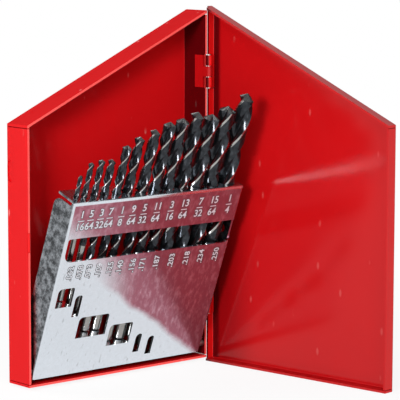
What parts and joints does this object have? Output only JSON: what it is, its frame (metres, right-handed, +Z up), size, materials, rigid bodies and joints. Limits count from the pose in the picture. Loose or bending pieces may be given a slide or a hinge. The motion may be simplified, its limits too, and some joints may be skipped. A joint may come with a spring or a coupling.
{
  "type": "drill bit case",
  "caption": "Folded sheet steel index case with a sloped top, hinged lid, tilting drill stand and a graded set of twist drills.",
  "frame": {"origin": "middle of the tray's bottom face", "axes": "+Z up along the tray's walls, +Y out of the tray's back, +X towards the hinge"},
  "size_m": [0.0937, 0.0941, 0.1287],
  "materials": {
    "enamel": "gloss",
    "enamel_lid": "gloss",
    "hinge_steel": "gloss",
    "pin_steel": "satin",
    "stud_steel": "satin",
    "galvanised": "spangled",
    "drill_steel": "black oxide"
  },
  "bodies": {
    "pin_body": {"hinge_pin_upper": "pin_steel", "hinge_pin_lower": "pin_steel"},
    "tray_body": {"tray": "enamel", "tray_hinge_leaf_upper": "hinge_steel", "tray_hinge_leaf_lower": "hinge_steel", "stand_pivot_stud_left": "stud_steel", "stand_pivot_stud_right": "stud_steel"},
    "lid_body": {"lid": "enamel_lid", "lid_hinge_leaf_upper": "hinge_steel", "lid_hinge_leaf_lower": "hinge_steel"},
    "stand_body": {"drill_stand": "galvanised"},
    "drill_1_16_body": {"drill_1_16": "drill_steel"},
    "drill_5_64_body": {"drill_5_64": "drill_steel"},
    "drill_3_32_body": {"drill_3_32": "drill_steel"},
    "drill_7_64_body": {"drill_7_64": "drill_steel"},
    "drill_1_8_body": {"drill_1_8": "drill_steel"},
    "drill_9_64_body": {"drill_9_64": "drill_steel"},
    "drill_5_32_body": {"drill_5_32": "drill_steel"},
    "drill_11_64_body": {"drill_11_64": "drill_steel"},
    "drill_3_16_body": {"drill_3_16": "drill_steel"},
    "drill_13_64_body": {"drill_13_64": "drill_steel"},
    "drill_7_32_body": {"drill_7_32": "drill_steel"},
    "drill_15_64_body": {"drill_15_64": "drill_steel"},
    "drill_1_4_body": {"drill_1_4": "drill_steel"}
  },
  "joints": [
    {"name": "tray_swing", "type": "hinge", "parent": "pin_body", "child": "tray_body", "pos_m": [0.04025, -0.00713, 0.06], "axis": [0, 0, -1], "range_deg": [-20.9, 5]},
    {"name": "lid_fold", "type": "hinge", "parent": "pin_body", "child": "lid_body", "pos_m": [0.04025, -0.00713, 0.06], "axis": [0, 0, 1], "range_deg": [-76.1, 0]},
    {"name": "stand_tilt", "type": "hinge", "parent": "tray_body", "child": "stand_body", "pos_m": [0, -0.00428, 0.00524], "axis": [1, 0, 0], "range_deg": [-20.7, 0]},
    {"name": "drill_1_16_slide", "type": "slide", "parent": "stand_body", "child": "drill_1_16_body", "axis": [0, -0.3444, 0.9388], "range_m": [0, 0.0553]},
    {"name": "drill_5_64_slide", "type": "slide", "parent": "stand_body", "child": "drill_5_64_body", "axis": [0, -0.3444, 0.9388], "range_m": [0, 0.0597]},
    {"name": "drill_3_32_slide", "type": "slide", "parent": "stand_body", "child": "drill_3_32_body", "axis": [0, -0.3444, 0.9388], "range_m": [0, 0.0649]},
    {"name": "drill_7_64_slide", "type": "slide", "parent": "stand_body", "child": "drill_7_64_body", "axis": [0, -0.3444, 0.9388], "range_m": [0, 0.0736]},
    {"name": "drill_1_8_slide", "type": "slide", "parent": "stand_body", "child": "drill_1_8_body", "axis": [0, -0.3444, 0.9388], "range_m": [0, 0.0783]},
    {"name": "drill_9_64_slide", "type": "slide", "parent": "stand_body", "child": "drill_9_64_body", "axis": [0, -0.3444, 0.9388], "range_m": [0, 0.0812]},
    {"name": "drill_5_32_slide", "type": "slide", "parent": "stand_body", "child": "drill_5_32_body", "axis": [0, -0.3444, 0.9388], "range_m": [0, 0.0885]},
    {"name": "drill_11_64_slide", "type": "slide", "parent": "stand_body", "child": "drill_11_64_body", "axis": [0, -0.3444, 0.9388], "range_m": [0, 0.0909]},
    {"name": "drill_3_16_slide", "type": "slide", "parent": "stand_body", "child": "drill_3_16_body", "axis": [0, -0.3444, 0.9388], "range_m": [0, 0.0964]},
    {"name": "drill_13_64_slide", "type": "slide", "parent": "stand_body", "child": "drill_13_64_body", "axis": [0, -0.3444, 0.9388], "range_m": [0, 0.0999]},
    {"name": "drill_7_32_slide", "type": "slide", "parent": "stand_body", "child": "drill_7_32_body", "axis": [0, -0.3444, 0.9388], "range_m": [0, 0.1009]},
    {"name": "drill_15_64_slide", "type": "slide", "parent": "stand_body", "child": "drill_15_64_body", "axis": [0, -0.3444, 0.9388], "range_m": [0, 0.1035]},
    {"name": "drill_1_4_slide", "type": "slide", "parent": "stand_body", "child": "drill_1_4_body", "axis": [0, -0.3444, 0.9388], "range_m": [0, 0.1078]}
  ],
  "couplings": [
    {"joint": "stand_tilt", "follows": "lid_fold", "ratio": 0.27201}
  ]
}
